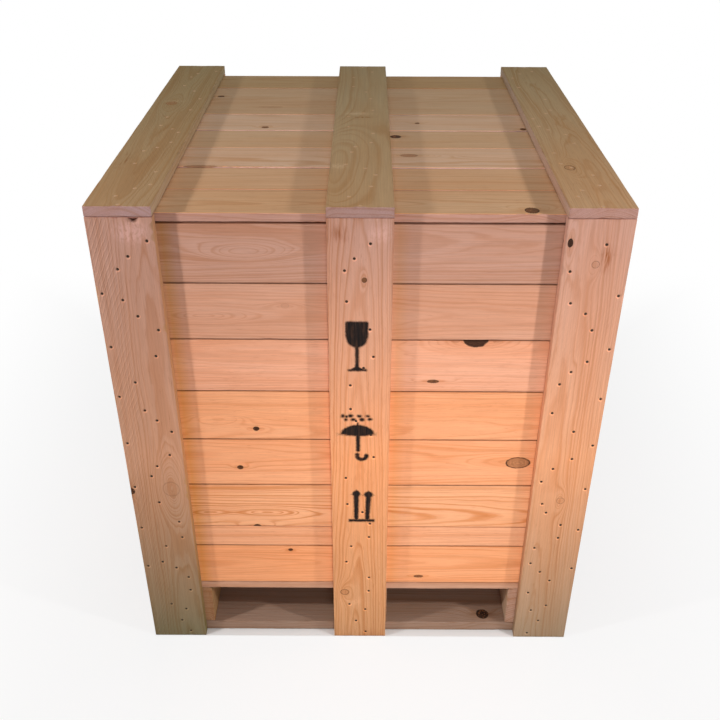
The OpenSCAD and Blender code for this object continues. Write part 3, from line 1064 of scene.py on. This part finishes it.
# A nail's radius and depth in millimetres, down its domed head to its shank, then its grip rings
# and point
NAIL_CORNERS = 12
NAIL_HEAD = [(0.9, -0.12), (1.9, -0.05), (2.4, 0.08), (2.6, 0.3), (2.58, 0.75), (1.9, 1.0), (1.25, 1.5)]
NAIL_CROWN = -0.15
SHANK_RADIUS, GROOVE_RADIUS, POINT_RADIUS = 1.25, 1.05, 0.3
POINT_LENGTH, GROOVE_LENGTH, GROOVES = 4.0, 0.7, 4
RINGED_FROM = 0.45
# How much painted highlight each body's nail heads carry
HEAD_BRIGHT = {"crate": 0.0, "lid": 0.8}


def nail_profile(length):
    """Radius and depth down a nail, from its domed head past its grip rings to its point."""
    profile = list(NAIL_HEAD)
    total = length / MM
    for place in np.linspace(total * RINGED_FROM, total - 1.5 * POINT_LENGTH, GROOVES):
        profile += [(SHANK_RADIUS, place), (GROOVE_RADIUS, place + GROOVE_LENGTH)]
    profile += [(SHANK_RADIUS, total - POINT_LENGTH), (POINT_RADIUS, total)]
    return np.array(profile) * MM


def nail_points(nail):
    """The points of one nail: a ring for each step of its profile, its crown and its tip."""
    profile = nail_profile(nail.length)
    turn = nail.random.uniform(0, 2 * math.pi)
    angles = 2 * math.pi * np.arange(NAIL_CORNERS) / NAIL_CORNERS + turn
    local = np.empty((len(profile), NAIL_CORNERS, 3))
    local[:, :, 0] = profile[:, :1] * np.cos(angles)
    local[:, :, 1] = profile[:, :1] * np.sin(angles)
    local[:, :, 2] = profile[:, 1:]
    local = np.concatenate([local.reshape(-1, 3), [[0, 0, NAIL_CROWN * MM], [0, 0, nail.length]]])
    world = np.tile(nail.head, (len(local), 1))
    world[:, nail.axis] -= nail.sign * np.minimum(local[:, 2] + nail.sink, nail.length)
    world[:, face_axes(nail.axis)] += local[:, :2]
    return world


def nail_cells(rings):
    """The cells between the rings of a nail's points, and those that close its two ends."""
    cells = []
    beside = [(corner + 1) % NAIL_CORNERS for corner in range(NAIL_CORNERS)]
    for ring, corner in product(range(rings - 1), range(NAIL_CORNERS)):
        low, high = ring * NAIL_CORNERS, (ring + 1) * NAIL_CORNERS
        cells.append((low + corner, high + corner, high + beside[corner], low + beside[corner]))
    last, crown, tip = (rings - 1) * NAIL_CORNERS, rings * NAIL_CORNERS, rings * NAIL_CORNERS + 1
    for corner in range(NAIL_CORNERS):
        cells.append((crown, corner, beside[corner]))
        cells.append((tip, last + beside[corner], last + corner))
    return cells


def build_nails(node, nails, material):
    """All nails of one node as one mesh. The heads of the lid's carry a painted highlight."""
    points, cells, body = [], [], nails[0].body
    pattern = nail_cells(len(nail_profile(nails[0].length)))
    for nail in nails:
        start = sum(len(made) for made in points)
        points.append(nail_points(nail))
        turn = -1 if nail.sign < 0 else 1
        cells += [tuple(start + corner for corner in cell[::turn]) for cell in pattern]
    mesh = new_mesh(node + "_steel", np.concatenate(points), cells, material)
    put(mesh, "bright", np.full(len(mesh.vertices), HEAD_BRIGHT[body]))
    add_piece(node + "_steel", mesh, node, body)


# Stencilled handling figures on the middle front batten, in millimetres across and up
def inside_box(x, z, low_x, high_x, low_z, high_z, corner=0.0):
    """Signed distance to a rectangle with round corners, negative inside."""
    away_x = np.abs(x - (low_x + high_x) / 2) - (high_x - low_x) / 2 + corner
    away_z = np.abs(z - (low_z + high_z) / 2) - (high_z - low_z) / 2 + corner
    outside = np.hypot(np.maximum(away_x, 0), np.maximum(away_z, 0))
    return outside + np.minimum(np.maximum(away_x, away_z), 0) - corner


def inside_oval(x, z, middle_x, middle_z, half_x, half_z):
    """About the signed distance to an oval."""
    return (np.hypot((x - middle_x) / half_x, (z - middle_z) / half_z) - 1) * min(half_x, half_z)


def near_line(x, z, start, end, start_width, end_width):
    """Signed distance to a line whose width changes from its start to its end."""
    run = np.array(end) - np.array(start)
    share = ((x - start[0]) * run[0] + (z - start[1]) * run[1]) / (run @ run)
    share = np.clip(share, 0, 1)
    gap = np.hypot(x - start[0] - share * run[0], z - start[1] - share * run[1])
    return gap - (start_width + (end_width - start_width) * share) / 2


def glass(x, z):
    """A drinking glass, which stands for a fragile load."""
    bowl = inside_box(x, z, -22, 12.5, 648, 672.5, 3)
    cup = np.maximum(inside_oval(x, z, -4.75, 650, 17.25, 23), z - 653)
    stem = near_line(x, z, (-4.5, 632), (-4.5, 590), 6, 6)
    flare = near_line(x, z, (-4.5, 594), (-4.5, 587.5), 5, 23)
    foot = inside_box(x, z, -19, 10.5, 585.5, 589.5, 2)
    return np.minimum.reduce([bowl, cup, stem, np.maximum(flare, 585.5 - z), foot])


# Rain drops: the middle and the half sizes
DROPS = [
    (-27, 502, 3.0, 3.6), (-21, 501, 2.6, 2.8), (-15, 502.5, 4.4, 3.4), (-1, 502, 3.9, 2.9),
    (12, 502, 3.3, 2.5), (-22, 495, 2.8, 3.0), (-10.5, 495.5, 4.2, 2.9), (3, 495.5, 4.2, 3.7),
    (16, 496, 4.0, 2.7),
]


def umbrella(x, z):
    """An umbrella under rain drops, which stands for a load to keep dry."""
    dome = np.maximum(inside_oval(x, z, -4, 466, 27, 19), 466 - z)
    rim = inside_oval(x, z, -3, 467, 26, 4)
    point = near_line(x, z, (-3.5, 484), (-3.5, 489), 4.5, 2.5)
    shaft = near_line(x, z, (-3, 463), (-3, 435), 6.8, 6.8)
    hook = np.maximum(np.abs(np.hypot(x - 3, z - 424) - 7.5) - 3.5, z - 424)
    hook_ends = [inside_oval(x, z, -4.5, 425.5, 3.5, 4.2), inside_oval(x, z, 10.5, 424, 3.5, 3.5)]
    drops = [inside_oval(x, z, *drop) for drop in DROPS]
    return np.minimum.reduce([dome, rim, point, shaft, hook] + hook_ends + drops)


def arrow(x, z, tip_x, tip_z, foot_x, half_width):
    """One upright arrow with a blunt, rounded head."""
    across = half_width / math.hypot(half_width, 9)
    roof = np.abs(x - tip_x) * math.sqrt(1 - across**2) + (z - tip_z) * across
    head = np.maximum(roof, tip_z - 10 - z)
    cap = inside_oval(x, z, tip_x, tip_z - 9, half_width - 0.5, 7)
    shaft = near_line(x, z, (tip_x, tip_z - 10), (foot_x, 290), 9.4, 7.4)
    return np.minimum.reduce([head, cap, shaft])


def arrows(x, z):
    """Two arrows on a bar, which stand for this way up."""
    bar = inside_box(x, z, -19, 25, 282.5, 288.5, 1.5)
    return np.minimum.reduce([bar, arrow(x, z, -6, 353, -6, 7), arrow(x, z, 14.5, 351, 12.5, 8)])


# The figures with their spans across and up, the blur and unevenness of their edges, and the
# haze of paint round them
STENCILS = [
    (glass, (-24, 15), (580, 676)),
    (umbrella, (-34, 25), (406, 511)),
    (arrows, (-21, 27), (279, 356)),
]
STENCIL_BATTEN = "front_batten_middle"
STENCIL_BLUR, STENCIL_UNEVEN, UNEVEN_SIZE = 3.0, 0.9, 3.5
STENCIL_HAZE, HAZE_REACH = 0.30, 3.4
STENCIL_GRID = 0.9 * MM
STENCIL_FRONT = -378


def stencil_amount(points):
    """How much paint lies at each point, given in millimetres."""
    x, z = points[:, 0], points[:, 2]
    nearest = np.minimum.reduce([figure(x, z) for figure, _, _ in STENCILS])
    nearest = nearest + STENCIL_UNEVEN * (value_noise(points / UNEVEN_SIZE, 3) - 0.5)
    solid = np.clip(0.5 - nearest / (2 * STENCIL_BLUR), 0, 1)
    haze = STENCIL_HAZE * np.exp(-np.maximum(nearest, 0) / HAZE_REACH)
    return np.where(points[:, 1] < STENCIL_FRONT, np.maximum(solid, haze), 0)


def stencil_windows(plank):
    """The rectangles of the plank's face that need fine points for the figures."""
    windows = []
    for _, across, up in STENCILS:
        corners = [plank.to_own((x * MM, plank.low[Y], z * MM))[:2] for x, z in product(across, up)]
        windows.append((np.min(corners, axis=0), np.max(corners, axis=0), STENCIL_GRID))
    return windows


# What chance gives a plank: its shade, fade along it, inset in millimetres, flecks, saw marks
SHADE, WARMTH = (0.95, 1.04), (-4, 4)
FADE, FADE_SQUARE = (-0.05, 0.05), (-0.05, 0.02)
INSET, FLECKS = (0.2, 0.45), (0.2, 0.7)
SAW_ANGLE, SAW_PITCH, SAW_SHARE = (50, 80), (4.0, 6.5), (0.5, 1.2)
WHOLE_WIDTH = 2.0


def dress(plank):
    """Settles a plank's colour, grain and marks from the photograph, its group and its chance."""
    kind = "front_" + plank.group.split("_", 1)[1] if plank.group.startswith(tuple(WALLS)) else plank.group
    slot, colour, edge, gaps, contrasts, saw, seams = GROUPS[kind]
    facts, random = plank.facts, plank.random
    shade, warm = random.uniform(*SHADE), random.uniform(*WARMTH)
    chance = np.array(colour) * shade + np.array([warm, 0, -warm])
    fade = (random.uniform(*FADE), random.uniform(*FADE_SQUARE))
    plank.slot = slot
    plank.tones = facts.get("tones", [np.clip(chance, 0, 250)])
    plank.fade = (0.0, 0.0) if "tones" in facts else fade
    plank.side_tint = np.array(facts.get("sides", GROUP_SIDES.get(kind, USUAL_SIDE)))
    plank.end_tint = np.array(facts.get("ends", GROUP_ENDS.get(kind, USUAL_END)))
    plank.edge = edge * MM
    plank.seams = facts.get("seams", seams)
    plank.inset = facts.get("inset", random.uniform(*INSET)) * MM
    gap, plank.ring_contrast = facts.get("rings", (random.uniform(*gaps), random.uniform(*contrasts)))
    plank.ring_gap = gap * MM
    plank.fleck = random.uniform(*FLECKS)
    angle = random.uniform(*SAW_ANGLE) * random.choice([-1, 1])
    marks = (angle, random.uniform(*SAW_PITCH), saw * random.uniform(*SAW_SHARE), WHOLE_WIDTH)
    plank.saw = facts.get("saw", marks)
    plank.knots = knot_list(plank)[:KNOT_SLOTS]
    knot_dents(plank)
    stain_list(plank)
    if plank.name == STENCIL_BATTEN:
        plank.windows = stencil_windows(plank)


def build_crate():
    """Makes every piece of wood and every nail in the frame."""
    wood = {slot: pine(slot + "_finish", *look) for slot, look in PINES.items()}
    nails = {
        body: [Nail(points, body) for points in loose_solids(body + "_nails")] for body in ("crate", "lid")
    }
    for plank in make_planks():
        dress(plank)
        nail_dents(plank, nails[plank.body])
        hole_dents(plank, nails["lid"])
        notch_dent(plank)
        build_plank(plank, wood[plank.slot])
    steel = nail_steel()
    for body in nails:
        build_nails(body + "_nails", nails[body], steel)


def add_camera():
    """The photograph's camera."""
    pitch, yaw, roll = (math.radians(angle) for angle in (CAMERA_PITCH, CAMERA_YAW, CAMERA_ROLL))
    forward = Vector((math.sin(yaw) * math.cos(pitch), math.cos(yaw) * math.cos(pitch), -math.sin(pitch)))
    right = Vector((math.cos(yaw), -math.sin(yaw), 0))
    up = right.cross(forward)
    side = math.cos(roll) * right + math.sin(roll) * up
    top = -math.sin(roll) * right + math.cos(roll) * up
    data = bpy.data.cameras.new("camera")
    data.lens, data.sensor_width = CAMERA_LENS, CAMERA_SENSOR
    data.shift_x, data.shift_y = CAMERA_SHIFT
    data.clip_start, data.clip_end = 0.05, 200
    camera = show("camera", data)
    turn = Matrix((side, top, -forward)).transposed().to_4x4()
    camera.matrix_world = Matrix.Translation(CAMERA_PLACE) @ turn
    bpy.context.scene.camera = camera


def add_lamp(name, kind, place, away, power, mirrored=True, **settings):
    """A lamp that shines against the direction away, and that the camera doesn't see."""
    data = bpy.data.lights.new(name, kind)
    data.energy = power
    for setting, value in settings.items():
        setattr(data, setting, value)
    lamp = show(name, data)
    lamp.location = place
    lamp.rotation_mode = "QUATERNION"
    lamp.rotation_quaternion = away.to_track_quat("Z", "Y")
    lamp.visible_camera, lamp.visible_glossy = False, mirrored


PANEL_AIM = (0, 0, 0.42)


def add_panel(name, azimuth, elevation, distance, size, power, mirrored=True):
    """A soft square lamp round the crate: azimuth 0 is in front of it, 90 at its right."""
    turn, rise = math.radians(azimuth), math.radians(elevation)
    away = Vector((math.sin(turn) * math.cos(rise), -math.cos(turn) * math.cos(rise), math.sin(rise)))
    place = Vector(PANEL_AIM) + away * distance
    add_lamp(name, "AREA", place, away, power, mirrored, shape="SQUARE", size=size)


def add_spot(name, place, aim, width, radius, power):
    """A soft round lamp whose light fades from the middle of its beam to the rim."""
    away = (Vector(place) - Vector(aim)).normalized()
    beam = {"spot_size": math.radians(width), "spot_blend": 1.0, "shadow_soft_size": radius}
    add_lamp(name, "SPOT", place, away, power, **beam)


def add_world(level):
    """A white world to the camera, and an even light of the given level on the object."""
    world = bpy.data.worlds.new("studio")
    bpy.context.scene.world = world
    g = Graph(world, "World")
    light, white = (g.node("Background", {"Color": WHITE, "Strength": strength}) for strength in (level, 1.0))
    g.end_mixed(g.seen(), light, white)


WHITE = (1.0, 1.0, 1.0)

# The floor: its size, its colour, the darker one under the crate, which is painted shade, and how
# far in that begins, the span over which the floor turns white, and how white it is beside the crate
FLOOR_SIZE = 40.0
FLOOR_COLOUR, UNDER_COLOUR, UNDER_EDGE = (0.86, 0.86, 0.86), (0.13, 0.12, 0.115), 0.06
FLOOR_FADE = (0.0, 0.8)
FLOOR_WHITE = 0.75


def floor_finish(half_width):
    """A pale floor that shows the crate's shadow, is darkened under the crate as painted shade, and turns
    plain white further off.
    """
    g = Graph(bpy.data.materials.new("floor_finish"))
    x, y, _ = g.split(g.node("NewGeometry").outputs["Position"])
    off = g.maths("MAXIMUM", *(g.add(g.maths("ABSOLUTE", value), -half_width) for value in (x, y)))
    share = g.ramp(off, *FLOOR_FADE, FLOOR_WHITE, 1.0)
    outside = g.maths("GREATER_THAN", off, 0.0)
    matt = g.node("BsdfDiffuse", {"Color": g.mix(g.ramp(off, -UNDER_EDGE, 0.0), UNDER_COLOUR, FLOOR_COLOUR)})
    white = g.node("Emission", {"Color": WHITE, "Strength": 1.0})
    return g.end_mixed(g.times(share, outside, g.seen()), matt, white)


def add_floor():
    """A large square floor at the crate's foot."""
    half = FLOOR_SIZE / 2
    corners = [(-half, -half, 0), (half, -half, 0), (half, half, 0), (-half, half, 0)]
    mesh = bpy.data.meshes.new("floor")
    mesh.from_pydata(corners, [], [(0, 1, 2, 3)])
    mesh.materials.append(floor_finish(cad_box[1].x))
    floor = show("floor", mesh)


build_crate()
add_camera()
add_world(0.1)
add_panel("left_lamp", -55, 27, 1.8, 0.08, 12.5)
add_panel("right_lamp", 52, 27, 1.8, 0.08, 12.5)
add_spot("front_lamp", place=(0.25, -2.3, 0.75), aim=(0.12, -0.38, 0.34), width=36, radius=0.3, power=98)
add_panel("top_lamp", 0, 72, 2.4, 1.6, 11)
add_panel("back_lamp", 180, 14, 3.0, 1.5, 30, mirrored=False)
add_floor()
bpy.context.scene.view_settings.view_transform = "Standard"
